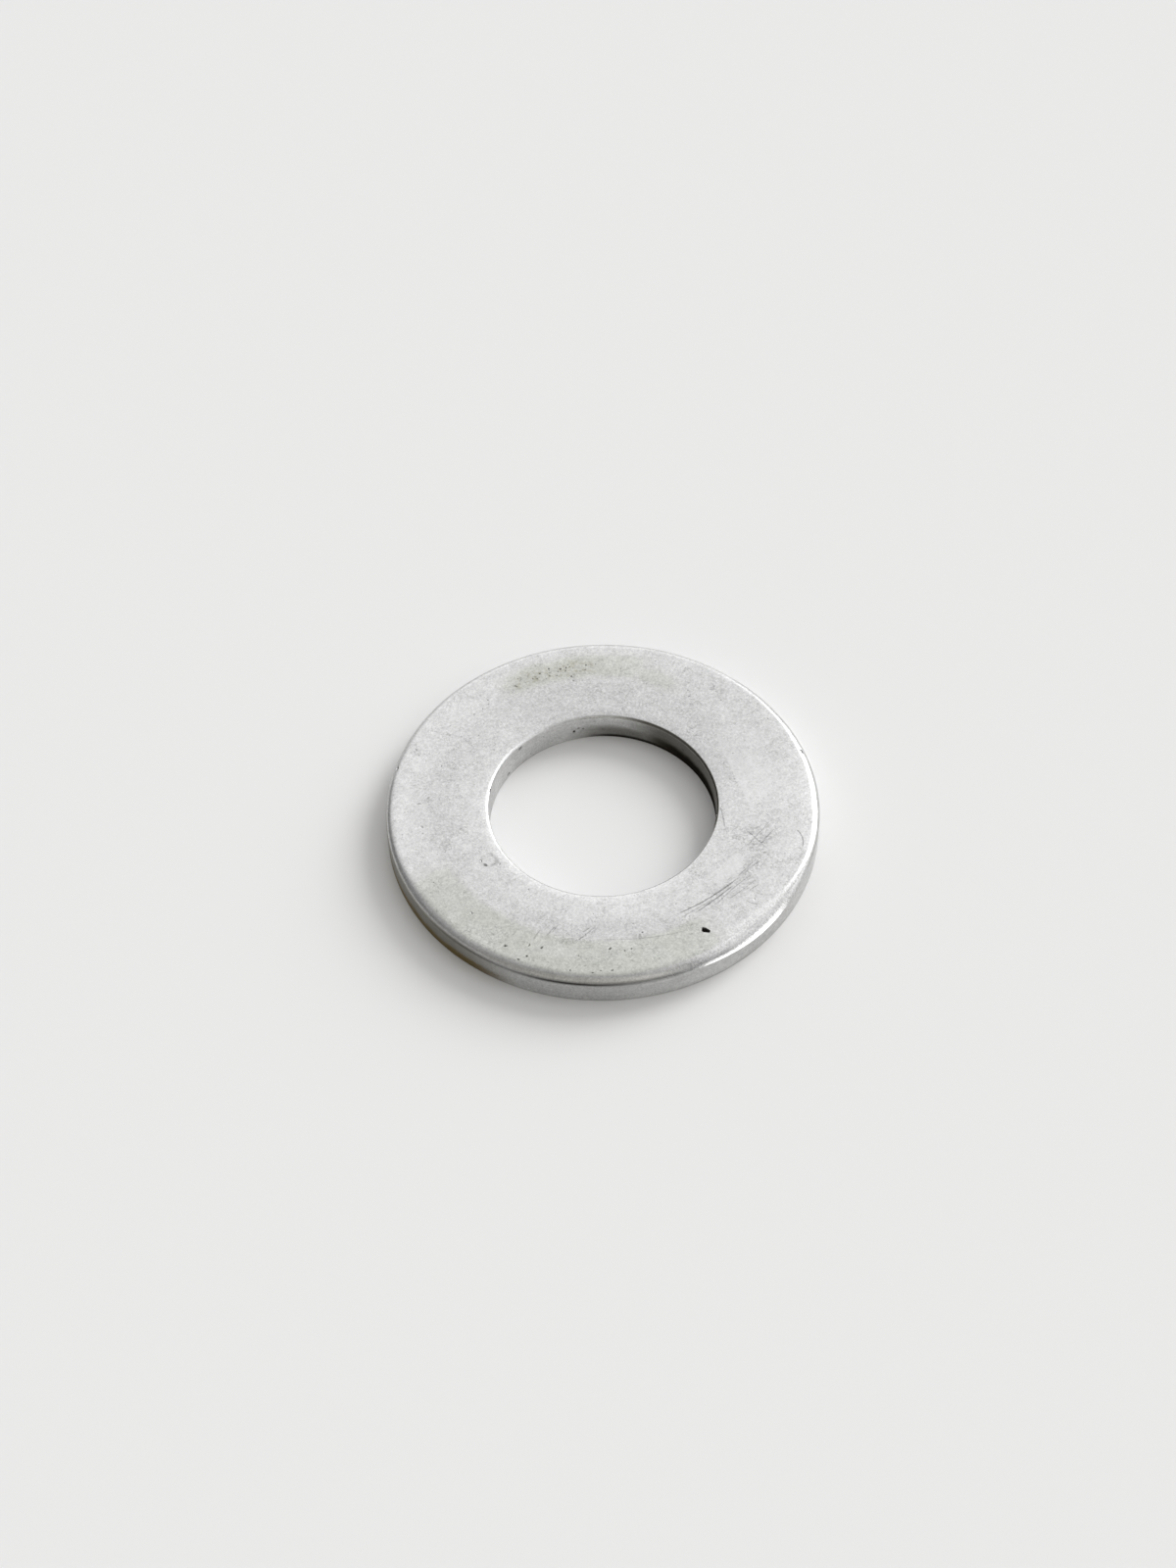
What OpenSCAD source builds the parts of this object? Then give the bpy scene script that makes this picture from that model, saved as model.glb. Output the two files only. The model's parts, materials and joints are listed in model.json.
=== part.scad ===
// Plain flat washer for a 10 mm bolt, blanked from steel plate and tumbled.
// It lies on its lower face, centred on the origin, with the bore along +Z. Millimetres.

/* [Ring] */
// Diameter across the outside
outer_d = 20; // [16:0.1:40]
// Diameter of the bolt hole
bore_d = 10.5; // [5:0.1:13]
// Thickness of the plate
thickness = 1.5; // [1:0.05:4]

/* [Edges] */
// How far the rolled upper edge reaches in from the outside
outer_roll_w = 0.5; // [0.42:0.02:0.7]
// How far the rolled upper edge reaches down the outside
outer_roll_h = 0.36; // [0.1:0.02:0.4]
// Radius of the rolled upper edge of the bolt hole
bore_roll_r = 0.24; // [0.06:0.02:0.5]
// Radius of the deburred lower edges
lower_edge_r = 0.1; // [0.04:0.02:0.3]

/* [Hidden] */
$fn = 144;

bore_r = bore_d / 2;
outer_r = outer_d / 2;
rim_w = outer_r - bore_r;

// How far a corner's cut reaches past the two faces it joins
overcut = 0.2;

// What is cut off a corner that stands at the origin, with the metal towards +X and +Y.
// The arc leaves the face along X smoothly, w from the corner, and meets the wall along Y at h from it,
// in a crease where h is less than w.
module corner_cut(w, h) {
    arc_r = (w * w + h * h) / (2 * h);
    difference() {
        translate([-overcut, -overcut]) square([w + overcut, h + overcut]);
        translate([w, arc_r]) circle(arc_r);
    }
}

// Section of the ring: X is the distance from the axis, Y the height above the lower face
module ring_section() {
    difference() {
        translate([bore_r, 0]) square([rim_w, thickness]);
        translate([bore_r, 0]) corner_cut(lower_edge_r, lower_edge_r);
        translate([outer_r, 0]) mirror([1, 0]) corner_cut(lower_edge_r, lower_edge_r);
        translate([bore_r, thickness]) mirror([0, 1]) corner_cut(bore_roll_r, bore_roll_r);
        translate([outer_r, thickness]) rotate(180) corner_cut(outer_roll_w, outer_roll_h);
    }
}

// The whole washer, turned from its section
module washer() {
    color([0.80, 0.80, 0.79]) rotate_extrude() ring_section();
}

washer();
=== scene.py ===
# %% [markdown]
# # A worn steel washer
# A plain washer is a ring punched out of steel plate. The punch pulls the upper edges down into a soft
# roll, and then the rings are tumbled together in a drum, which takes off the burrs and leaves a satin
# skin full of small pits, dings and scratches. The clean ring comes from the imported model, at its real
# size. This lesson makes the same ring again as a fine mesh with its wear, so that light catches on it
# as it does on the real one.

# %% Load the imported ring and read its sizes
import json
import math
import random
from collections import namedtuple

import bmesh
import bpy
import numpy as np
from mathutils import Matrix, Vector


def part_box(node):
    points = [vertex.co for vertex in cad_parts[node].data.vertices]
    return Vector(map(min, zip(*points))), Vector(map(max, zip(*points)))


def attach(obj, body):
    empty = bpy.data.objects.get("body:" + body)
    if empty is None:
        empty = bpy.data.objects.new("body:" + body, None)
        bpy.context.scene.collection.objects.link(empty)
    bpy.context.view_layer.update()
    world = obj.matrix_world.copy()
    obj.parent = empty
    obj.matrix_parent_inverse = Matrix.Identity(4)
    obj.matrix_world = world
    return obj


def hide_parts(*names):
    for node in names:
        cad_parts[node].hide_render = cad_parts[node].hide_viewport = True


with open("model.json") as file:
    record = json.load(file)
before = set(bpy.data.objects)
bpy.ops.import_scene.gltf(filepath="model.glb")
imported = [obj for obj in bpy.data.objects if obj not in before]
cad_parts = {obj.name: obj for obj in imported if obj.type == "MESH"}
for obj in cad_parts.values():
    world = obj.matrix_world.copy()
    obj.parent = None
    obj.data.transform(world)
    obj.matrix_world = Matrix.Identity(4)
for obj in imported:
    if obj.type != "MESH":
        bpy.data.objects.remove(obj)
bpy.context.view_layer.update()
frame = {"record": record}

MM = 0.001
low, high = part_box("washer")
outer_r = (high.x - low.x) / 2 / MM
thickness = (high.z - low.z) / MM
mounts = {mount["name"]: mount for mount in frame["record"]["mounts"]}
bore_r = mounts["bore"]["dims"]["r_mm"]
print(f"ring {2 * outer_r:.2f} mm outside, {2 * bore_r:.2f} mm bore, {thickness:.2f} mm thick")

# %% [markdown]
# ## The camera
# A photo of a round thing gives its own camera away: each rim is a circle in space and an ellipse in
# the picture, so the viewing angle, the distance and the lens follow from the ellipses. The values
# below were found that way. The camera looks at the centre of the lower face, and is then turned a
# little, so that this centre falls on the pixel where the photo has it. Turning the camera keeps the
# lens unshifted, which suits every other view too.

# %% Camera
PHOTO_W = 1200
PHOTO_H = 1600
SENSOR = 36
focal_px = 2700
camera_elevation = math.radians(51.78)
camera_distance = 123.14
camera_roll = math.radians(1.023)
centre_px_x = 614.5
centre_px_y = 840.05

look = Vector((0, math.cos(camera_elevation), -math.sin(camera_elevation)))
off_x = centre_px_x - PHOTO_W / 2
off_y = centre_px_y - PHOTO_H / 2
turn_up = math.atan2(off_y, math.hypot(focal_px, off_x))
turn_left = math.atan2(off_x, focal_px)

camera = bpy.data.objects.new("camera", bpy.data.cameras.new("camera"))
bpy.context.scene.collection.objects.link(camera)
bpy.context.scene.camera = camera
camera.data.sensor_width = SENSOR
camera.data.lens = focal_px / PHOTO_H * SENSOR
camera.data.clip_start = MM
camera.matrix_world = (
    Matrix.Translation(-look * camera_distance * MM)
    @ look.to_track_quat("-Z", "Y").to_matrix().to_4x4()
    @ Matrix.Rotation(turn_up, 4, "X")
    @ Matrix.Rotation(turn_left, 4, "Y")
    @ Matrix.Rotation(-camera_roll, 4, "Z")
)
print(f"lens {camera.data.lens:.2f} mm, {camera_distance:.0f} mm from the ring")

# %% [markdown]
# ## Writing shader maths as Python
# A node tree is a formula drawn with wires. Written out node by node, the formula is lost, so one small
# class holds an output socket and gives it the arithmetic signs. Each sign adds one Math node. Every
# other node comes from one method, which sets the node's settings first and then fills or links its
# sockets.

# %% A socket with arithmetic
MIX_FACTOR = 0
MIX_FIRST = 6
MIX_SECOND = 7
MIX_COLOUR = 2


class Wire:
    """One output socket of a shader tree. Arithmetic on it adds Math nodes to that tree."""

    def __init__(self, tree, socket=None):
        self.tree = tree
        self.socket = socket

    def node(self, kind, settings=None, sockets=None, output=0):
        """Add a node: its settings, then values or links on its sockets. Returns one output or several."""
        made = self.tree.nodes.new(kind)
        for name, value in (settings or {}).items():
            setattr(made, name, value)
        for name, value in (sockets or {}).items():
            if isinstance(value, Wire):
                self.tree.links.new(value.socket, made.inputs[name])
            else:
                made.inputs[name].default_value = value
        if isinstance(output, tuple):
            return tuple(Wire(self.tree, made.outputs[name]) for name in output)
        return Wire(self.tree, made.outputs[output])

    def math(self, operation, *terms):
        return self.node("ShaderNodeMath", {"operation": operation}, dict(enumerate(terms)))

    def __add__(self, other):
        return self.math("ADD", self, other)

    def __radd__(self, other):
        return self.math("ADD", other, self)

    def __sub__(self, other):
        return self.math("SUBTRACT", self, other)

    def __rsub__(self, other):
        return self.math("SUBTRACT", other, self)

    def __mul__(self, other):
        return self.math("MULTIPLY", self, other)

    def __rmul__(self, other):
        return self.math("MULTIPLY", other, self)

    def __truediv__(self, other):
        return self.math("DIVIDE", self, other)

    def __abs__(self):
        return self.math("ABSOLUTE", self)

    def at_least(self, other):
        return self.math("MAXIMUM", self, other)

    def step(self, start, end):
        """0 up to start and 1 from end, with a soft curve between; start may also be above end."""
        span = {"Value": self, "From Min": start, "From Max": end}
        return self.node("ShaderNodeMapRange", {"interpolation_type": "SMOOTHSTEP"}, span)

    def split(self):
        return self.node("ShaderNodeSeparateXYZ", None, {0: self}, ("X", "Y", "Z"))

    def vector(self, operation, *terms, output=0):
        return self.node("ShaderNodeVectorMath", {"operation": operation}, dict(enumerate(terms)), output)

    def plus(self, other):
        return self.vector("ADD", self, other)

    def minus(self, other):
        return self.vector("SUBTRACT", self, other)

    def dot(self, other):
        return self.vector("DOT_PRODUCT", self, other, output="Value")

    def scaled(self, factor):
        return self.node("ShaderNodeVectorMath", {"operation": "SCALE"}, {0: self, "Scale": factor})

    def turned(self, degrees):
        """The same place in axes that are turned about Z by that angle."""
        turn = {"Vector": self, "Angle": math.radians(-degrees)}
        return self.node("ShaderNodeVectorRotate", {"rotation_type": "Z_AXIS"}, turn)

    def noise(self, scale, detail=2.0, roughness=0.5, distortion=0.0, output="Fac"):
        grain = {"Vector": self, "Scale": scale, "Detail": detail}
        grain.update({"Roughness": roughness, "Distortion": distortion})
        return self.node("ShaderNodeTexNoise", None, grain, output)

    def blend(self, first, second):
        """Mix two colours by this factor."""
        pair = {MIX_FACTOR: self, MIX_FIRST: first, MIX_SECOND: second}
        return self.node("ShaderNodeMix", {"data_type": "RGBA"}, pair, MIX_COLOUR)


def new_tree(owner):
    """An empty shader tree on a material or world, as a Wire to build on."""
    owner.use_nodes = True
    owner.node_tree.nodes.clear()
    return Wire(owner.node_tree)


print("shader formulas are written with Wire")

# %% [markdown]
# ## Floor
# The ring lies on a plain pale floor. The floor is a wide dish: flat under the ring, and rising gently
# far away, so that a low camera sees no edge and no horizon. A sheet of this kind is called a cove in a
# photo studio.

# %% A floor that rises far away
FLOOR_FLAT = 0.5
FLOOR_REACH = 1.25
FLOOR_RISE = 0.11
FLOOR_SQUARES = 96
FLOOR_DROP = 0.000003
floor_colour = (0.80, 0.80, 0.80, 1)


def floor_height(radius):
    climb = max(0.0, radius - FLOOR_FLAT) / (FLOOR_REACH - FLOOR_FLAT)
    return FLOOR_RISE * climb * climb - FLOOR_DROP


sheet = bmesh.new()
bmesh.ops.create_grid(sheet, x_segments=FLOOR_SQUARES, y_segments=FLOOR_SQUARES, size=FLOOR_REACH)
for vert in sheet.verts:
    vert.co.z = floor_height(vert.co.xy.length)
for face in sheet.faces:
    face.smooth = True
floor = bpy.data.objects.new("floor", bpy.data.meshes.new("floor"))
sheet.to_mesh(floor.data)
sheet.free()
bpy.context.scene.collection.objects.link(floor)

matte_white = bpy.data.materials.new("matte_white")
paint = new_tree(matte_white)
chalk = paint.node("ShaderNodeBsdfDiffuse", None, {"Color": floor_colour})
paint.node("ShaderNodeOutputMaterial", None, {"Surface": chalk}, ())
floor.data.materials.append(matte_white)
print(f"floor {2 * FLOOR_REACH:.1f} m across with {len(floor.data.polygons)} faces")

# %% [markdown]
# ## Light
# Bare metal has no colour of its own to show: it shows the room. So the room matters more here than for
# any other material. A window with soft edges stands on the right and throws the shadow to the left and
# front. The wall beyond the ring is pale, the ceiling is palest towards the window, the left is dim,
# and the side that the camera stands on is dim and warm. All of them are soft round glows in a dark
# room, so that each one shows in the rolled edges with its own place and softness.

# %% The room
GLOW_CORE = 8
room = bpy.data.worlds.new("room")
bpy.context.scene.world = room
bpy.context.scene.view_settings.view_transform = "Standard"
sky = new_tree(room)
direction = sky.node("ShaderNodeTexCoord", None, None, "Generated")


def heading(azimuth, elevation):
    """The direction at an azimuth, counted from +X towards +Y, and an elevation. Degrees."""
    flat = math.cos(math.radians(elevation))
    side = math.radians(azimuth)
    return Vector((flat * math.cos(side), flat * math.sin(side), math.sin(math.radians(elevation))))


def glow(azimuth, elevation, edge, strength, tint):
    """A soft round glow, full at its core and gone at its edge, in degrees from its middle."""
    nearness = direction.dot(heading(azimuth, elevation))
    level = nearness.step(math.cos(math.radians(edge)), math.cos(math.radians(GLOW_CORE)))
    colour = [strength * share for share in tint]
    return sky.node("ShaderNodeVectorMath", {"operation": "SCALE"}, {0: colour, "Scale": level})


white = (1.00, 1.00, 1.00)
beige = (1.05, 1.00, 0.88)

# Each glow has an azimuth, an elevation and an edge, in degrees, and a strength
window = [(40, 10, 23, 4.0), (45, 31, 20, 9.2)]
beside_window = [(68, 12, 26, 0.40), (2, 36, 34, 1.0), (3, 11, 20, 0.7)]
far_wall = [(98, 14, 36, 1.0), (105, 48, 38, 0.9)]
ceiling = [(0, 88, 36, 0.36), (18, 64, 26, 0.62), (310, 43, 36, 0.47)]
left_wall = [(170, 56, 34, 0.38), (200, 34, 40, 0.16)]
near_wall = [(238, 20, 36, 0.24), (270, 38, 34, 0.44)]
glows = [glow(*place, white) for place in window + beside_window + far_wall + ceiling + left_wall]
glows += [glow(*place, beige) for place in near_wall]
light = glows[0]
for next_glow in glows[1:]:
    light = light.plus(next_glow)
shine = sky.node("ShaderNodeBackground", None, {"Color": light})
sky.node("ShaderNodeOutputWorld", None, {"Surface": shine}, ())
print(f"{len(glows)} glows light the room")

# %% [markdown]
# ## A low strip of light
# The roll is smoothest at the front right, where it mirrors one low, sharp-edged light as a narrow
# white streak. Soft glows can't draw such a streak, so this light is a lamp: a rectangle of light,
# close to the floor.

# %% A low strip of light
STRIP_AZIMUTH = -28
STRIP_ELEVATION = 9
STRIP_DISTANCE = 0.5
STRIP_WIDTH = 0.27
STRIP_HEIGHT = 0.14
STRIP_WATTS = 0.30
strip_light = bpy.data.lights.new("low_strip", "AREA")
strip_light.shape = "RECTANGLE"
strip_light.size = STRIP_WIDTH
strip_light.size_y = STRIP_HEIGHT
strip_light.energy = STRIP_WATTS
strip = bpy.data.objects.new("low_strip", strip_light)
toward = heading(STRIP_AZIMUTH, STRIP_ELEVATION)
strip.location = toward * STRIP_DISTANCE
strip.rotation_mode = "QUATERNION"
strip.rotation_quaternion = (-toward).to_track_quat("-Z", "Y")
strip.visible_camera = False
bpy.context.scene.collection.objects.link(strip)
print("one lamp, low on the right")

# %% [markdown]
# ## The section of the ring
# Turning a section round the axis is how the solid was made, and it is how this mesh is made too. The
# section has a flat foot, a straight outer wall, a rolled upper edge that meets the wall in a crease,
# the flat face, and a smaller roll into the bore. On the real ring the roll isn't the same all the way
# round: at the front right the punch has pulled it down about twice as far as on the left. So the
# section is worked out afresh at each angle.
#
# Each roll has a depth, which is how far it reaches down the wall; a lean, which is how far its lower
# end faces up; and an ease, which bends it more at its upper end as it grows. The front, the right and
# the left have their own values, and the named stretches add to them or take away from them.

# %% Sizes of the edges, in mm and degrees
foot_r = 0.06
front_depth = 0.34
front_lean = 24
front_ease = 1.0
right_depth = 0.38
right_lean = 16
right_ease = 1.0
left_depth = 0.27
left_ease = 0.62
streak_depth = 0.19
streak_lean = 18
streak_ease = 0.3
slope_rise = 0.13
slope_ease = 0.8
side_lean = 22
far_rise = 0.10
shoulder_tilt = 4
shoulder_width = 0.90
dip_depth = 0.10
bore_depth = 0.18
bore_tilt = 9
bore_width = 0.50
bore_ease = 0.8

# Stretches of the rim where the roll changes: the middle angle and the half width, in degrees
STREAK = (314, 15)
LEANING = (309, 22)
SLOPE = (342, 18)
SIDE = (350, 26)
SHOULDER = (2, 30)
FAR_RIM = (15, 22)
DIP = (213, 14)

# Slow wobbles of the roll's depth: waves round the rim, height in mm and phase in degrees
EDGE_WAVES = ((5, 0.010, 40), (11, 0.006, 200), (23, 0.003, 10))
print(f"roll {left_depth} mm deep on the left, {right_depth + streak_depth:.2f} mm at the front right")

# %% Sides of the ring
FRONT = 262
FAR = 442
RIGHT_STARTS = 13
LEFT_STARTS = -12
SIDE_BLEND = 42
FAR_BLEND = 60


def bell(angle, middle, half):
    """A smooth bump round the rim, 1 at the middle angle; all three in degrees."""
    away = (angle - middle + 180) % 360 - 180
    return math.exp(-((away / half) ** 2))


def wander(angle, *waves):
    """A slow wobble round the rim, made of a few whole waves (count, height, phase in degrees)."""
    return sum(height * math.sin(math.radians(count * angle + phase)) for count, height, phase in waves)


def smooth(t):
    """0 below 0, 1 above 1, and a soft curve between."""
    t = np.clip(t, 0, 1)
    return t * t * (3 - 2 * t)


def rightness(angle):
    """1 round the right side, and 0 at the front, on the left and at the far side."""
    onward = (angle - FRONT) % 360
    return smooth((onward - RIGHT_STARTS) / SIDE_BLEND) * smooth((FAR - FRONT - onward) / FAR_BLEND)


def leftness(angle):
    """1 round the left and far sides, and 0 at the front and on the right."""
    onward = (angle - FRONT) % 360
    past_far = onward - (FAR - FRONT - FAR_BLEND)
    return smooth((360 + LEFT_STARTS - onward) / SIDE_BLEND) * smooth(past_far / FAR_BLEND)


print(f"at the front right, {rightness(STREAK[0]):.2f} of the roll is the right one")

# %% Stretches of the section
STEPS_SHOULDER = 8


def corner(middle_r, middle_z, radius, start, end, steps):
    """Points of an arc, without its first one. Angles in degrees."""
    angles = np.radians(np.linspace(start, end, steps + 1)[1:])
    return [(middle_r + radius * math.cos(a), middle_z + radius * math.sin(a)) for a in angles]


def run(start, end, steps):
    """Points of a straight stretch, without its first one."""
    shares = np.linspace(0, 1, steps + 1)[1:]
    return [(start[0] + (end[0] - start[0]) * s, start[1] + (end[1] - start[1]) * s) for s in shares]


def rolled_edge(depth, lean, tilt, width, ease, steps):
    """Steps in and up from a wall to the face: a roll, then a gentle shoulder of that width.

    Lean is how far the roll's lower end faces up, and tilt how far the shoulder's outer end leans.
    """
    shares = (np.arange(STEPS_SHOULDER) + 0.5) / STEPS_SHOULDER
    rises = np.tan(np.radians(tilt * (1 - shares))) * width / STEPS_SHOULDER
    roll_depth = depth - rises.sum()
    shares = (np.arange(steps) + 0.5) / steps
    slopes = np.radians(lean + (90 - tilt - lean) * shares ** ease)
    stride = roll_depth / np.cos(slopes).sum()
    inward = np.append(np.sin(slopes) * stride, np.full(STEPS_SHOULDER, width / STEPS_SHOULDER))
    climb = np.append(np.cos(slopes) * stride, rises)
    return list(zip(np.cumsum(inward), np.cumsum(climb)))


print("arcs, straight runs and rolls named")

# %% Section
STEPS_UNDER = 12
STEPS_FOOT = 5
STEPS_WALL = 9
STEPS_ROLL = 18
STEPS_FACE = 32
STEPS_BORE_ROLL = 9
STEPS_BORE = 8


def section(angle):
    """Points (r, z) of the section at one angle, from the bore's foot outwards and round."""
    right = rightness(angle)
    left = leftness(angle)
    front = 1 - right - left
    streak = bell(angle, *STREAK)
    slope = bell(angle, *SLOPE)
    side = right * bell(angle, *SIDE)
    tilt = shoulder_tilt * right * bell(angle, *SHOULDER)
    depth = front_depth * front + right_depth * right + left_depth * left
    depth += streak_depth * streak + dip_depth * bell(angle, *DIP)
    depth -= slope_rise * slope + far_rise * bell(angle, *FAR_RIM)
    depth += wander(angle, *EDGE_WAVES)
    lean = front_lean * front + right_lean * right
    lean += streak_lean * bell(angle, *LEANING) + side_lean * side
    ease = front_ease * front + right_ease * right + left_ease * left
    ease += streak_ease * streak + slope_ease * slope
    edge = rolled_edge(depth, lean, tilt, shoulder_width, ease, STEPS_ROLL)
    lip = rolled_edge(bore_depth, 0, bore_tilt, bore_width, bore_ease, STEPS_BORE_ROLL)
    bore_top = thickness - bore_depth
    points = run((bore_r + foot_r, 0), (outer_r - foot_r, 0), STEPS_UNDER)
    points += corner(outer_r - foot_r, foot_r, foot_r, -90, 0, STEPS_FOOT)
    points += run((outer_r, foot_r), (outer_r, thickness - depth), STEPS_WALL)
    points += [(outer_r - far, thickness - depth + up) for far, up in edge]
    points += run(points[-1], (bore_r + lip[-1][0], thickness), STEPS_FACE)
    points += [(bore_r + far, bore_top + up) for far, up in lip[-2::-1]]
    points += [(bore_r, bore_top)]
    points += run((bore_r, bore_top), (bore_r, foot_r), STEPS_BORE)
    points += corner(bore_r + foot_r, foot_r, foot_r, 180, 270, STEPS_FOOT)
    return points


CREASE_POINT = STEPS_UNDER + STEPS_FOOT + STEPS_WALL - 1
print(f"{len(section(0))} points round the section, crease at {section(270)[CREASE_POINT][1]:.2f} mm")

# %% [markdown]
# ## Turning the ring
# The points of all the sections become one closed skin of quads. Beside the shape, the mesh carries one
# number for each point: how dark it is painted. In the pits this is dark dirt, and in the crease along
# the front it is painted shade.

# %% The bare ring
ROUND_STEPS = 600
turns = np.linspace(0, 360, ROUND_STEPS, endpoint=False)
rings = np.array([section(angle) for angle in turns])
cosines = np.cos(np.radians(turns))[:, None]
sines = np.sin(np.radians(turns))[:, None]
points = np.stack([rings[:, :, 0] * cosines, rings[:, :, 0] * sines, rings[:, :, 1]], axis=-1)
around, along = points.shape[:2]
faces = []
for i in range(around):
    for j in range(along):
        next_i = (i + 1) % around
        next_j = (j + 1) % along
        faces.append((i * along + j, next_i * along + j, next_i * along + next_j, i * along + next_j))

ring_mesh = bpy.data.meshes.new("worn_ring")
ring_mesh.from_pydata(points.reshape(-1, 3) * MM, [], faces)
print(f"bare ring of {len(ring_mesh.polygons)} quads")

# %% Painted shade in the crease
CREASE_FRONT = (262, 20)
CREASE_LEFT = (232, 14)
LEFT_SHARE = 0.5
crease_fade = np.array([0.9, 1.0, 0.7, 0.4, 0.2])
# Painted shade: a thin dark line is painted into the crease along the front, and more weakly towards the
# left.
crease_shade = np.zeros((around, along))
for i, angle in enumerate(turns):
    packed = bell(angle, *CREASE_FRONT) + LEFT_SHARE * bell(angle, *CREASE_LEFT)
    crease_shade[i, CREASE_POINT:CREASE_POINT + len(crease_fade)] = crease_fade * min(1.0, packed)
grime = ring_mesh.attributes.new("grime", "FLOAT", "POINT")
grime.data.foreach_set("value", crease_shade.reshape(-1).astype(np.float32))
print(f"{(crease_shade > 0.5).sum()} points of the crease are darkened")

# %% [markdown]
# ## Pits and nicks
# The plate had small pits, and the drum nicked the edges. They are real hollows with dirt in them, so
# they are pressed into the mesh: bump alone would vanish at the edges and in other light. Each mark is
# an oval on the surface with a length, a width and a depth. The ones that can be told apart are listed
# by distance from the axis and angle, and the rest are scattered where such pits are common.

# %% Kinds of marks
Mark = namedtuple("Mark", "centre normal along long wide depth grime")
UP = np.array([0.0, 0.0, 1.0])
dice = random.Random(11)


def polar(r, angle, z):
    return np.array([r * math.cos(math.radians(angle)), r * math.sin(math.radians(angle)), z])


def pit(r, angle, long, turn, share=0.6, deep=0.6, dirt=1.0, up=True):
    """A pit in the upper face, or in the lower one; turn is the direction of its length, in degrees."""
    side = 1 if up else -1
    centre = polar(r, angle, thickness if up else 0)
    return Mark(centre, UP * side, polar(1, turn, 0), long, long * share, long * deep, dirt)


def wall_pit(r, angle, z, long, turn, share=0.6, deep=0.5, dirt=1.0):
    """A pit in the bore's wall or the outer wall; turn 0 runs round the wall and 90 runs up it."""
    outward = polar(1, angle, 0)
    normal = outward if r > (outer_r + bore_r) / 2 else -outward
    across = polar(1, angle + 90, 0)
    lie = math.cos(math.radians(turn)) * across + math.sin(math.radians(turn)) * UP
    return Mark(polar(r, angle, z), normal, lie, long, long * share, long * deep, dirt)


def edge_nick(r, angle, z, tilt, long, share=0.5, deep=0.35, dirt=0.6):
    """A nick in an edge; its normal leans out from the axis by tilt, measured up from level."""
    lean = math.radians(tilt)
    normal = math.cos(lean) * polar(1, angle, 0) + math.sin(lean) * UP
    return Mark(polar(r, angle, z), normal, polar(1, angle + 90, 0), long, long * share, long * deep, dirt)


print("pits, wall pits and edge nicks named")

# %% Marks placed one by one
SHALLOW = 0.2
FRONT_SIZE = 0.85
front_pits = [(9.13, 241.1, 0.11, 10, 0.65), (8.64, 247.3, 0.11, 62, 0.35), (8.60, 251.0, 0.11, 60, 0.45)]
front_pits += [(9.25, 248.0, 0.08, 30, 0.80), (9.54, 246.3, 0.08, 330, 0.60), (9.51, 260.6, 0.07, 90, 0.70)]
front_pits += [(9.54, 266.6, 0.06, 20, 0.60), (9.41, 268.7, 0.05, 0, 0.80), (9.42, 271.8, 0.08, 10, 0.50)]
front_pits += [(8.25, 271.5, 0.11, 38, 0.55), (8.35, 278.0, 0.06, 30, 0.70), (7.57, 282.7, 0.06, 20, 0.80)]
far_pits = [(9.23, 40, 0.06, 300), (9.28, 32, 0.08, 310, 0.50), (9.45, 20, 0.05, 290)]
far_pits += [(8.38, 47, 0.06, 320), (8.14, 131, 0.06, 40), (8.15, 137.5, 0.07, 30)]
far_pits += [(8.61, 146, 0.05, 20), (7.14, 144, 0.05, 60)]
left_pits = [(9.33, 158.7, 0.11, 110, 0.45), (7.86, 162.5, 0.08, 70), (8.48, 179.1, 0.11, 12, 0.45)]
left_pits += [(8.38, 188.4, 0.11, 130, 0.50), (8.40, 191.0, 0.06, 60), (8.06, 176.6, 0.08, 10, 0.50)]
lone_pits = [(8.79, 319.8, 0.07, 80), (8.55, 226.1, 0.08, 290), (6.40, 213.1, 0.14, 330, 0.60)]
lone_pits += [(5.84, 216.2, 0.07, 60), (6.43, 210.4, 0.08, 110, 0.50)]
marks = []
for r, angle, long, turn, share in front_pits:
    marks.append(pit(r, angle, FRONT_SIZE * long, turn, share, SHALLOW, 0.85))
marks += [pit(*spec, deep=0.16, dirt=0.45) for spec in far_pits + left_pits]
marks += [pit(*spec, deep=SHALLOW, dirt=0.5) for spec in lone_pits]

marks += [wall_pit(bore_r, 104.2, 0.57, 0.09, 80, 0.8, 0.8)]
marks += [wall_pit(bore_r, 100.7, 0.73, 0.22, 16, 0.12, 0.15, 0.7)]
marks += [wall_pit(bore_r, 147, 0.22, 0.12, 0), edge_nick(bore_r, 136.7, 1.22, 135, 0.14)]
marks += [edge_nick(bore_r + 0.06, 169.7, 1.36, 135, 0.12), edge_nick(bore_r + 0.06, 352, 1.38, 135, 0.10)]
marks += [edge_nick(9.80, 17.5, 1.40, 60, 0.16), edge_nick(9.80, 166.3, 1.40, 60, 0.14)]
print(f"{len(marks)} marks placed by hand")

# %% Scattered marks
PITS_UP = 46
PITS_UNDER = 60
PITS_STAIN = 30
PITS_WALL = 40
TRIES = 6 * PITS_UP
SELDOM = 0.18
COMMON_PLACES = ((0.8, 245, 34), (0.6, 140, 32), (0.4, 32, 16))
STAIN_ANGLE = 106
STAIN_R = 8.45


def often(angle):
    """How common pits are on the upper face at an angle, 0 to 1."""
    level = SELDOM
    for share, middle, half in COMMON_PLACES:
        level += share * bell(angle, middle, half)
    return min(1.0, level)


def pit_size(least, spread):
    """The length of a pit: mostly small, now and then larger."""
    return least + spread * dice.random() ** 2


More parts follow.
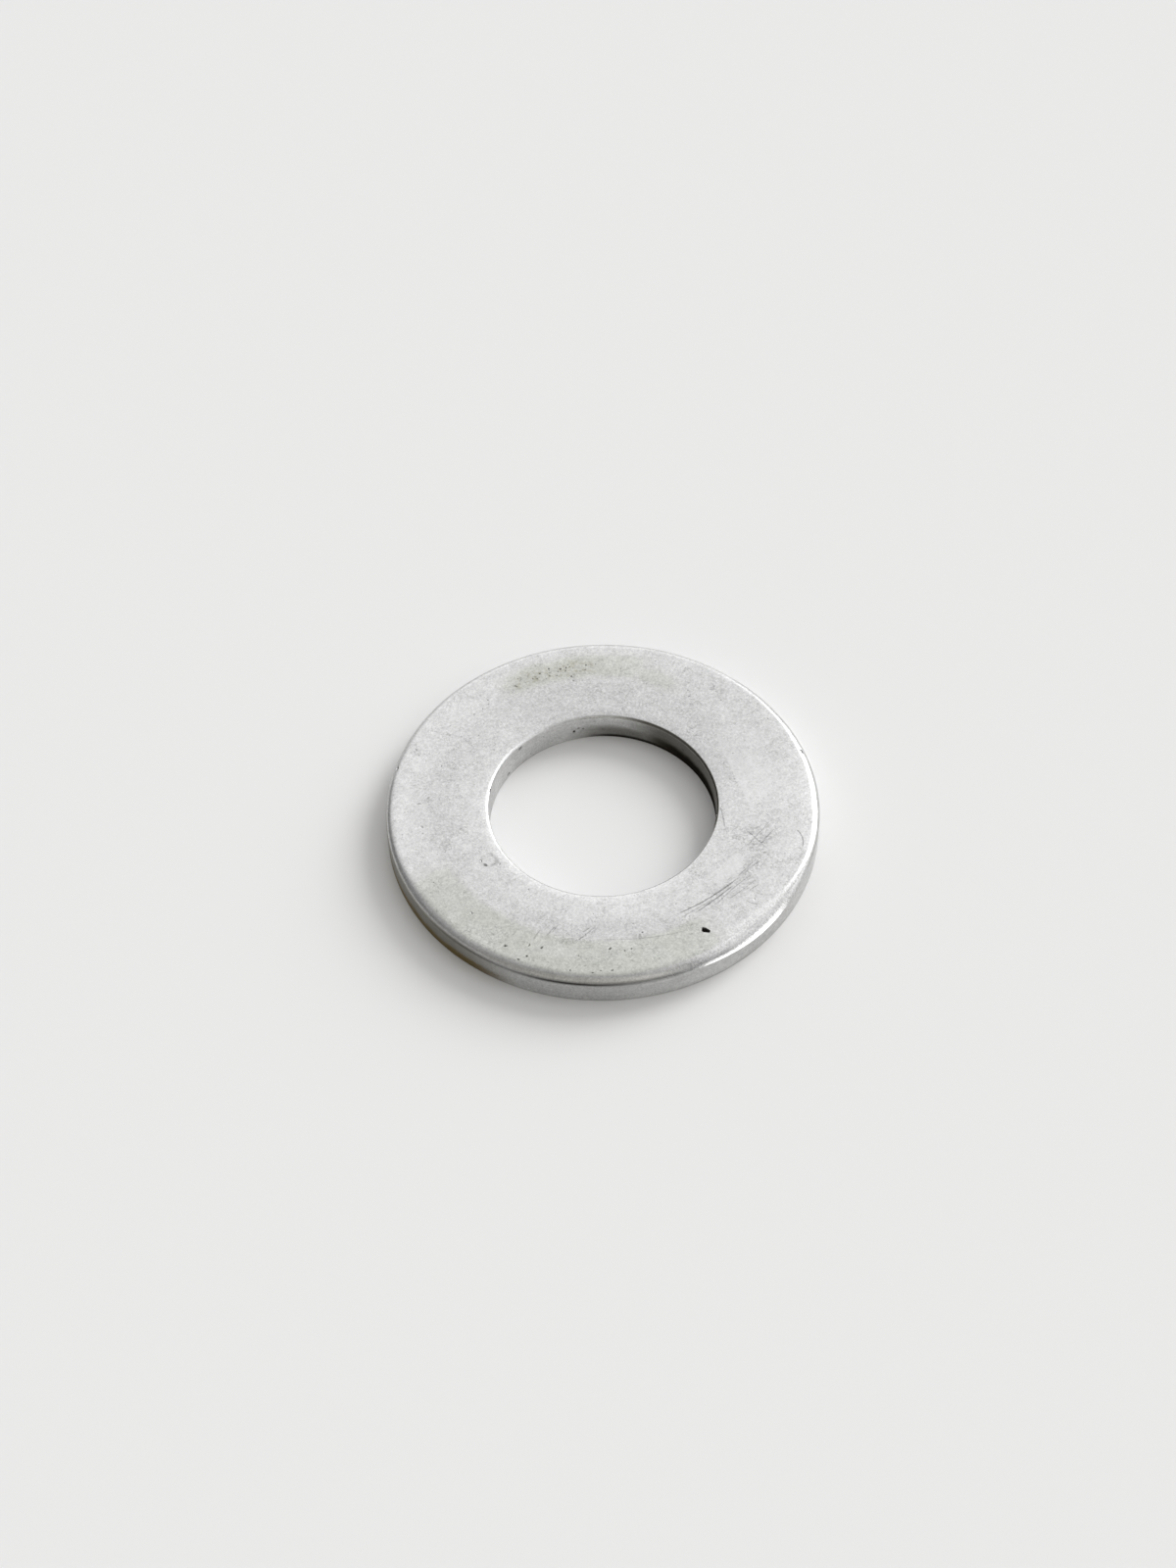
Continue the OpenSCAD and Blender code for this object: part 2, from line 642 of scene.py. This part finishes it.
tried = (dice.uniform(0, 360) for _ in range(TRIES))
angles = [angle for angle in tried if dice.random() < often(angle)]
for angle in angles[:PITS_UP]:
    size = pit_size(0.028, 0.030)
    share = dice.uniform(0.4, 0.8)
    r = dice.uniform(5.7, 9.4)
    marks.append(pit(r, angle, size, dice.gauss(45, 30), share, SHALLOW, dice.uniform(0.25, 0.7)))
for _ in range(PITS_STAIN):
    size = pit_size(0.03, 0.05)
    share = dice.uniform(0.5, 0.9)
    r = dice.gauss(STAIN_R, 0.22)
    marks.append(pit(r, dice.gauss(STAIN_ANGLE, 8), size, dice.uniform(0, 180), share, SHALLOW, 0.8))
for _ in range(PITS_UNDER):
    size = pit_size(0.03, 0.06)
    r = dice.uniform(5.6, 9.7)
    marks.append(pit(r, dice.uniform(0, 360), size, dice.uniform(0, 180), 0.7, up=False))
for _ in range(PITS_WALL):
    r = dice.choice([bore_r, outer_r])
    size = dice.uniform(0.03, 0.06)
    angle = dice.uniform(0, 360)
    z = dice.uniform(0.15, 1.0)
    marks.append(wall_pit(r, angle, z, size, dice.gauss(0, 30), deep=SHALLOW, dirt=0.6))
print(f"{len(marks)} marks in all")

# %% [markdown]
# ## Pressing the marks in
# Most pits are no larger than a quad of the ring, so the quads near each mark are cut into four first.
# Near the small marks they are cut twice, and near the large black pit three times. Then each point
# inside a mark moves in along the mark's normal.

# %% The black pit
black_pit_corners = [(4.31, -7.15), (4.49, -7.19), (4.68, -7.34)]
black_pit_corners += [(4.65, -7.47), (4.36, -7.44), (4.29, -7.36)]
black_pit_outline = np.array(black_pit_corners)
black_pit_depth = 0.12
black_pit_wall = 0.035
black_pit_middle = np.append(black_pit_outline.mean(axis=0), thickness)
black_pit_reach = 0.36


def inside_depth(xy, outline):
    """How far inside a convex clockwise outline each point is, in mm; negative outside."""
    deep = np.full(len(xy), np.inf)
    for start, end in zip(outline, np.roll(outline, -1, axis=0)):
        edge = (end - start) / np.linalg.norm(end - start)
        inward = np.array([edge[1], -edge[0]])
        deep = np.minimum(deep, (xy - start) @ inward)
    return deep


print(f"black pit {black_pit_depth} mm deep")

# %% Cutting the quads
NEAR = 0.06
SMALL_MARK = 0.083


def refine(mesh, spots, reaches):
    """Cut every face whose middle is within reach of a spot into four."""
    middles = np.empty(len(mesh.polygons) * 3)
    mesh.polygons.foreach_get("center", middles)
    middles = middles.reshape(-1, 3) / MM
    wanted = np.zeros(len(middles), bool)
    for spot, reach in zip(spots, reaches):
        wanted |= ((middles - spot) ** 2).sum(axis=1) < reach * reach
    skin = bmesh.new()
    skin.from_mesh(mesh)
    skin.faces.ensure_lookup_table()
    edges = {edge for index in np.flatnonzero(wanted) for edge in skin.faces[index].edges}
    bmesh.ops.subdivide_edges(skin, edges=list(edges), cuts=1, use_grid_fill=True)
    bmesh.ops.triangulate(skin, faces=[face for face in skin.faces if len(face.verts) > 4])
    skin.to_mesh(mesh)
    skin.free()


def refine_marks(chosen, near, pit_near):
    """Cut the faces round the chosen marks and round the black pit."""
    spots = [mark.centre for mark in chosen] + [black_pit_middle]
    refine(ring_mesh, spots, [mark.long + near for mark in chosen] + [black_pit_reach + pit_near])


refine_marks(marks, NEAR, NEAR)
refine_marks([mark for mark in marks if mark.long < SMALL_MARK], NEAR / 2, 0)
refine_marks([], 0, 0)
print(f"ring of {len(ring_mesh.polygons)} faces after cutting")

# %% Press
SKIN_DEEP = 0.25
REACH = 1.5
PIT_WALL = 0.55
DIRT_RIM = 0.25
coordinates = np.empty(len(ring_mesh.vertices) * 3)
ring_mesh.vertices.foreach_get("co", coordinates)
place = coordinates.reshape(-1, 3) / MM
# These values carry the crease's painted shade as well as the dirt that the marks press in.
dirt = np.empty(len(place), np.float32)
ring_mesh.attributes["grime"].data.foreach_get("value", dirt)
pressed = place.copy()
for mark in marks:
    away = place - mark.centre
    near = np.flatnonzero((away ** 2).sum(axis=1) < (mark.long * REACH + SKIN_DEEP) ** 2)
    away = away[near]
    across = np.cross(mark.normal, mark.along)
    oval = np.hypot(away @ mark.along / mark.long, away @ across / mark.wide)
    fall = smooth((1 - oval) / PIT_WALL) * (np.abs(away @ mark.normal) < SKIN_DEEP)
    pressed[near] -= np.outer(fall * mark.depth, mark.normal)
    dirt[near] = np.maximum(dirt[near], smooth((1 - oval) / DIRT_RIM) * (fall > 0) * mark.grime)
on_face = np.abs(place[:, 2] - thickness) < SKIN_DEEP
hollow = np.where(on_face, smooth(inside_depth(place[:, :2], black_pit_outline) / black_pit_wall), 0)
pressed[:, 2] -= hollow * black_pit_depth
dirt = np.maximum(dirt, hollow)
ring_mesh.vertices.foreach_set("co", (pressed * MM).reshape(-1))
ring_mesh.attributes["grime"].data.foreach_set("value", dirt.astype(np.float32))
print(f"deepest mark {np.abs(pressed - place).max():.3f} mm, {(dirt > 0.5).sum()} darkened points")

# %% The worn ring
CREASE_SHARPER_THAN = math.radians(21)
ring_mesh.shade_smooth()
ring_mesh.set_sharp_from_angle(angle=CREASE_SHARPER_THAN)
ring_mesh.update()
worn_ring = bpy.data.objects.new("worn_ring", ring_mesh)
bpy.context.scene.collection.objects.link(worn_ring)
print(f"worn ring of {len(ring_mesh.vertices)} points")

# %% [markdown]
# The strip stands so low that it would light a bright patch of the floor beside it, which shows in
# views from behind. Light linking keeps the lamp off the floor: it lights only what is in its
# collection.

# %% The strip lights the ring alone
lit_by_strip = bpy.data.collections.new("lit_by_strip")
lit_by_strip.objects.link(worn_ring)
strip.light_linking.receiver_collection = lit_by_strip

# %% [markdown]
# ## Steel
# Tumbled steel is grey by what it mirrors, softly. So the shader is a metal with middling roughness,
# and the skin's story is told by small changes of tone, roughness and bump: grey clouds and curly marks
# from the drum, an olive film where oil dried, scuffs and scratches, and a smoother roll on the right.
# First come the places: where on the ring a point is, in millimetres.

# %% Places on the ring
worn_steel = bpy.data.materials.new("worn_steel")
metal = new_tree(worn_steel)
here = metal.node("ShaderNodeTexCoord", None, None, "Object").scaled(1 / MM)
facing = metal.node("ShaderNodeTexCoord", None, None, "Normal")
x, y, z = here.split()
lean_z = facing.split()[2]
r = metal.math("SQRT", x * x + y * y)
upward = lean_z.step(0.90, 0.985)
level = abs(lean_z).step(0.90, 0.985)
wall = abs(lean_z).step(0.34, 0.20)
rolled = 1 - level.at_least(wall)
in_bore = wall * r.step(6.0, 5.8)

RAGGED = 0.5
HARDLY_RAGGED = 0.15
drift = here.noise(1.3, 4, 0.6, output="Color").minus((0.5, 0.5, 0.5)).scaled(RAGGED)
ragged = here.plus(drift)
ragged_x, ragged_y, ragged_z = ragged.split()
nearly = here.plus(drift.scaled(HARDLY_RAGGED))
ragged_r = metal.math("SQRT", ragged_x * ragged_x + ragged_y * ragged_y)
print("places on the ring named")


# %% Patches
def arc(middle, half, soft):
    """The stretch of the ring within half degrees of the middle angle, with a soft ragged border."""
    side = math.radians(middle)
    nearness = (ragged_x * math.cos(side) + ragged_y * math.sin(side)) / ragged_r
    return nearness.step(math.cos(math.radians(half + soft)), math.cos(math.radians(max(0, half - soft))))


def sector(middle, half, inner, outer, soft_angle, soft):
    """A patch of the upper face between two angles and two radii, with soft ragged borders."""
    across = ragged_r.step(inner - soft, inner + soft) * ragged_r.step(outer + soft, outer - soft)
    return arc(middle, half, soft_angle) * across * upward


def offsets(place, middle_x, middle_y, turn):
    """How far a place is from a middle point, along and across a line at turn degrees."""
    c = math.cos(math.radians(turn))
    s = math.sin(math.radians(turn))
    along = place.dot((c, s, 0)) - (middle_x * c + middle_y * s)
    across = place.dot((-s, c, 0)) - (middle_y * c - middle_x * s)
    return along, across


def oval(middle_x, middle_y, long, wide, turn, soft):
    """An oval patch of the upper face, with a soft ragged border. Its length lies at turn degrees."""
    u, v = offsets(ragged, middle_x, middle_y, turn)
    out = metal.math("SQRT", (u / long) * (u / long) + (v / wide) * (v / wide))
    return out.step(1 + soft, 1 - soft) * upward


def facet(corners, soft):
    """A straight-sided patch of the upper face. Its corners run clockwise, and its borders are soft."""
    inside = upward
    for start, end in zip(corners, corners[1:] + corners[:1]):
        run_x = end[0] - start[0]
        run_y = end[1] - start[1]
        length = math.hypot(run_x, run_y)
        inward = (run_y / length, -run_x / length, 0)
        inside = inside * nearly.minus((start[0], start[1], 0)).dot(inward).step(-soft, soft)
    return inside


print("arcs, sectors, ovals and facets named")


# %% Scratches and fine lines
def scratch(start, end, bow, width):
    """A single scratch on the upper face from start to end, bowed sideways by bow. All in mm."""
    run_x = end[0] - start[0]
    run_y = end[1] - start[1]
    half = math.hypot(run_x, run_y) / 2
    turn = math.degrees(math.atan2(run_y, run_x))
    u, v = offsets(here, (start[0] + end[0]) / 2, (start[1] + end[1]) / 2, turn)
    t = u / half
    off = abs(v - bow * (1 - t * t))
    return off.step(width, 0.3 * width) * abs(t).step(1.0, 0.7) * upward


def hairlines(turn, length, fineness, start, end):
    """Short fine parallel lines at turn degrees: noise that is drawn out along the line."""
    turned = here.turned(turn)
    drawn = turned.vector("MULTIPLY", turned, (1 / length, fineness, 1))
    return drawn.noise(1, 2, 0.6).step(start, end)


def worms(scale, width, bend):
    """Thin curly lines: the places where a bent noise passes its middle value."""
    return abs(here.noise(scale, 1, 0.5, bend) - 0.5).step(width, 0.2 * width)


print("scratches and fine lines named")

# %% [markdown]
# ## Tone of the skin
# Clouds, mottling and grain are noise at three sizes: some millimetres, a third of a millimetre, and a
# hair. On top of them lie the patches that this ring has: a dried olive film along the front, a dark
# speckled stain at the far side, a belt of curly marks on the left, and two bright rubbed patches on
# the right. A lighter patchy band along the left rim is a painted highlight.

# %% Clouds, film and stains
clouds = here.noise(0.6, 5, 0.6) - 0.5
blotches = here.noise(1.5, 2, 0.5, 0.6) - 0.5
mottle = here.noise(3.4, 1.5, 0.6, 0.5) - 0.5
grain = here.noise(11, 1.5, 0.7, 0.4) - 0.5
curls = worms(2.6, 0.045, 1.6) * here.noise(1.1, 3, 0.6).step(0.46, 0.62) * level
specks = here.noise(6.5, 2, 0.6).step(0.64, 0.76) * level

patchy = here.noise(0.9, 5, 0.65).step(0.28, 0.66)
front_film = sector(255, 48, 7.80, 9.9, 5, 0.22) * (0.45 + 0.40 * patchy)
front_edge = sector(266, 22, 8.70, 9.9, 10, 0.45) * 0.9
far_film = sector(99, 20, 7.85, 9.1, 8, 0.30) * (0.55 + 0.45 * patchy)
side_film = oval(2.6, 7.6, 1.25, 0.55, 150, 0.5) * 0.5
film = front_film.at_least(front_edge).at_least(far_film).at_least(side_film)
stain = sector(STAIN_ANGLE, 13, 8.0, 8.8, 8, 0.3) * here.noise(3.4, 5, 0.7).step(0.42, 0.66)
belt = sector(172, 32, 6.2, 8.1, 10, 0.5)
belt_lines = worms(2.2, 0.055, 2.0) * here.noise(2.0, 2, 0.6).step(0.40, 0.56)
belt_marks = belt * (0.25 * here.noise(1.7, 4, 0.6, 1.0).step(0.40, 0.68) + belt_lines)
print("film and stains named")

# %% Light and dark patches
rubbed_leaf = facet([(4.70, -4.30), (6.05, -3.00), (6.36, -3.25), (6.27, -4.05), (5.10, -4.85)], 0.07)
rubbed_side = facet([(5.20, 4.40), (9.00, 5.00), (9.00, -0.50), (6.84, -0.62)], 0.06)
rubbed_side = rubbed_side * oval(6.6, 1.9, 2.6, 1.3, 105, 0.6)
# Painted highlight: a lighter patchy band on the face along the left rim.
left_rim_highlight = sector(174, 34, 9.00, 9.62, 10, 0.10) * here.noise(1.6, 3, 0.6).step(0.40, 0.56)
rubbed_left = sector(165, 38, 8.25, 9.5, 12, 0.4)
rubbed_front = sector(235, 66, 5.2, 6.7, 16, 0.5)
rubbed_right = sector(0, 28, 8.3, 9.4, 14, 0.5)
dull_far = sector(70, 56, 5.2, 7.9, 14, 0.9).at_least(0.6 * sector(42, 26, 7.4, 9.5, 12, 0.5))
dull_front = sector(266, 30, 6.9, 7.9, 14, 0.4)
# The rubbed patches together with the painted highlight along the left rim.
rubbed_and_highlight = 1.5 * rubbed_leaf + 1.7 * rubbed_side + 0.8 * rubbed_left
rubbed_and_highlight = rubbed_and_highlight + rubbed_front + 0.5 * rubbed_right + left_rim_highlight
print("rubbed and dull patches named")

# %% Scratches
long_scratch = scratch((3.16, -6.46), (6.06, -4.44), -0.14, 0.045)
twin_scratch = scratch((3.98, -6.43), (5.84, -4.84), -0.03, 0.045)
tail_scratch = scratch((6.36, -5.74), (6.86, -5.94), -0.05, 0.030)
side_scratch = scratch((6.50, -5.20), (7.00, -4.84), 0.03, 0.035)
rim_scratch = scratch((8.80, -1.72), (9.02, -2.80), 0.16, 0.045)
bore_scratch = scratch((5.40, -0.30), (5.56, -1.60), 0.03, 0.050)
faint_arc = scratch((-0.30, -7.72), (3.80, -7.28), -0.20, 0.030)
scratches = long_scratch.at_least(0.9 * twin_scratch).at_least(tail_scratch).at_least(0.7 * side_scratch)
scratches = scratches.at_least(rim_scratch).at_least(0.7 * bore_scratch).at_least(0.45 * faint_arc)
left_ticks = [((-3.20, -7.75), (-2.86, -7.15)), ((-2.58, -7.52), (-2.18, -6.96))]
left_ticks += [((-2.34, -7.32), (-2.02, -6.86))]
for start, end in left_ticks:
    scratches = scratches.at_least(0.6 * scratch(start, end, 0.02, 0.040))
faint_ticks = [((-1.22, -7.78), (-0.38, -6.98)), ((-1.02, -7.36), (-0.64, -7.04))]
faint_ticks += [((-4.12, -7.44), (-3.94, -7.16))]
for start, end in faint_ticks:
    scratches = scratches.at_least(0.5 * scratch(start, end, -0.02, 0.040))

bundle = [((3.40, -6.62), (5.00, -5.56)), ((4.20, -5.98), (6.20, -4.36)), ((5.00, -5.92), (6.70, -4.26))]
bundle += [((5.60, -5.62), (6.90, -4.52)), ((6.00, -4.42), (7.02, -3.28)), ((6.34, -4.22), (7.20, -3.48))]
bundle += [((6.60, -2.60), (7.50, -1.50)), ((6.90, -2.90), (7.90, -1.60)), ((6.50, -1.70), (7.40, -2.80))]
for start, end in bundle:
    scratches = scratches.at_least(0.55 * scratch(start, end, dice.uniform(-0.08, 0.08), 0.038))
print("scratches named")

# %% Scuffs
network = worms(3.0, 0.075, 1.0).at_least(hairlines(48, 0.7, 6, 0.56, 0.66))
scuffed = oval(7.20, -2.05, 1.05, 0.75, 40, 0.4).at_least(oval(6.75, -3.75, 1.05, 0.40, 45, 0.4))
smudged = oval(5.9, -4.95, 1.7, 0.55, 40, 0.5)
band = sector(332, 17, 6.9, 8.6, 6, 0.4)
front_rub = oval(-0.8, -7.4, 2.2, 0.45, 3, 0.5)
scuffs = (scuffed * (0.10 + 0.90 * network)).at_least(smudged * (0.10 + 0.50 * network))
scuffs = scuffs.at_least(0.10 * band)
scuffs = scuffs.at_least(front_rub * 0.5 * hairlines(52, 0.5, 8, 0.55, 0.68))
dent_x, dent_y, _ = ragged.minus((-5.17, -3.20, 0)).split()
dent_out = metal.math("SQRT", dent_x * dent_x + dent_y * dent_y)
ring_dent = abs(dent_out - 0.33).step(0.15, 0.02) * upward * here.noise(2.5, 2).step(0.38, 0.60)
hairs = hairlines(28, 2.2, 13, 0.60, 0.70).at_least(hairlines(70, 1.8, 12, 0.62, 0.72)) * level
print("scuffs named")

# %% [markdown]
# ## Putting the steel together
# The tone scales the colour, the colour leans to olive where there is film, and dirt covers the metal
# in the pits. On the right the roll is smoother than the face, because the drum rubs edges most, and
# the walls are rougher, with streaks that run round the ring, left by the punch. Painted shade darkens
# the outer wall at the front left and browns its foot, and darkens the bore's far right, which faces
# away from the window, most of all at its foot. The same near-black matte as the pit dirt is painted
# shade in the crease along the front. Painted light lightens the lower outer wall at the front right.

# %% Streaks and painted shade
streak_place = metal.node("ShaderNodeCombineXYZ", None, {"X": x * 0.35, "Y": y * 0.35, "Z": (z - r) * 11})
streaks = (streak_place.noise(1, 3, 0.6) - 0.5) * (1 - level)
# Painted shade: the bore's far right, which faces away from the window, is darkened on its lip and its
# wall, most towards the foot.
bore_lip_shade = rolled * r.step(5.75, 5.45) * arc(28, 46, 12)
bore_wall_shade = arc(24, 44, 14) * (0.80 + 0.20 * z.step(0.95, 0.45))
bore_wall_shade = in_bore * bore_wall_shade.at_least(0.65 * arc(70, 24, 14) * z.step(1.05, 0.55))
# Painted shade: the outer wall at the front left, on the shadow side, is darkened, and its foot is painted
# brown.
left_wall_shade = lean_z.step(0.66, 0.40) * r.step(9.2, 9.4) * arc(208, 28, 12)
left_foot_shade = (wall - in_bore) * arc(216, 22, 10) * ragged_z.step(0.62, 0.28)
# Painted shade: the foot of the bore's far right is painted near-black.
bore_foot_shade = arc(18, 36, 10) * ragged_z.step(0.78, 0.45)
bore_foot_shade = in_bore * bore_foot_shade.at_least(arc(42, 50, 8) * z.step(0.30, 0.12))
print("grime named")

# %% Tone
calm = 1 - 0.45 * rubbed_leaf.at_least(0.8 * rubbed_side)
tone = 1 + calm * (0.14 * clouds + 0.14 * blotches + 0.24 * mottle + 0.75 * grain - 0.22 * curls)
tone = tone + 0.30 * streaks - 0.08 * specks - 0.12 * belt_marks
tone = tone + 0.07 * rubbed_and_highlight - 0.12 * dull_far - 0.05 * dull_front - 0.25 * scuffs - 0.48 * scratches
tone = tone - 0.34 * ring_dent - 0.07 * hairs
tone = tone - 0.04 * rolled - 0.06 * wall + 0.14 * in_bore - 0.30 * in_bore * arc(228, 58, 18)
# Painted light: the lower part of the outer wall at the front right is lightened, as if it mirrored a
# brighter floor at its foot.
tone = tone + 0.16 * (wall - in_bore) * arc(291, 14, 8) * z.step(0.75, 0.35)
print("tone of the skin set")

# %% Colours
steel_colour = (0.618, 0.620, 0.616, 1)
film_colour = (0.505, 0.510, 0.470, 1)
stain_colour = (0.34, 0.33, 0.27, 1)
shade_colour = (0.24, 0.23, 0.195, 1)
# Painted shade on the bore's far right and its lip.
bore_shade_colour = (0.060, 0.052, 0.032, 1)
# Painted shade at the foot of the outer wall at the front left.
foot_shade_colour = (0.19, 0.135, 0.045, 1)
# Dirt in the pits, and painted shade in the crease and at the bore's foot.
dirt_and_shade_colour = (0.014, 0.012, 0.010, 1)

# How much near-black matte covers the metal: dirt in the pits, painted shade in the crease and at the foot
# of the bore's far right.
dirt_and_shade_here = metal.node("ShaderNodeAttribute", {"attribute_name": "grime"}, None, "Fac")
dirt_and_shade_here = dirt_and_shade_here.at_least(0.95 * bore_foot_shade)
skin = film.blend(steel_colour, film_colour)
skin = (0.85 * stain).blend(skin, stain_colour)
skin = skin.scaled(tone)
# Painted shade on the outer wall at the front left and its foot, and on the bore's far right and its lip.
skin = (0.9 * left_wall_shade).blend(skin, shade_colour)
skin = left_foot_shade.blend(skin, foot_shade_colour)
skin = bore_wall_shade.at_least(0.85 * bore_lip_shade).blend(skin, bore_shade_colour)
print("colours laid over each other")

# %% Gloss and bump
BUMP_HEIGHT = 0.004 * MM
sleek = rolled * arc(340, 60, 20)
polished = rolled * arc(311, 17, 7) * z.step(1.25, 1.05)
gloss = 0.40 + 0.08 * mottle - 0.16 * sleek - 0.04 * polished
gloss = gloss + 0.08 * wall - 0.02 * rubbed_and_highlight + 0.08 * scuffs
height = 0.7 * mottle + 0.5 * grain - 0.3 * curls - 0.6 * scratches
height = height - 0.25 * hairs - 0.3 * scuffs + 0.5 * streaks
relief = {"Strength": 1.0, "Distance": BUMP_HEIGHT, "Height": height}
bumps = metal.node("ShaderNodeBump", None, relief, "Normal")
print("gloss and bump set")

# %% The finish
bare = {"Base Color": skin, "Roughness": gloss, "Metallic": 1.0, "Normal": bumps}
bare_steel = metal.node("ShaderNodeBsdfPrincipled", None, bare)
# A near-black matte: dirt in the pits, painted shade in the crease and at the bore's foot.
dirt_and_shade_matte = metal.node("ShaderNodeBsdfDiffuse", None, {"Color": dirt_and_shade_colour})
surface = metal.node("ShaderNodeMixShader", None, {0: dirt_and_shade_here, 1: bare_steel, 2: dirt_and_shade_matte})
metal.node("ShaderNodeOutputMaterial", None, {"Surface": surface}, ())
ring_mesh.materials.append(worn_steel)
print(f"worn steel has {len(worn_steel.node_tree.nodes)} nodes")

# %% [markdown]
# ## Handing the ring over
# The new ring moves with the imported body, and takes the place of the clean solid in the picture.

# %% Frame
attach(worn_ring, "root")
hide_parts("washer")
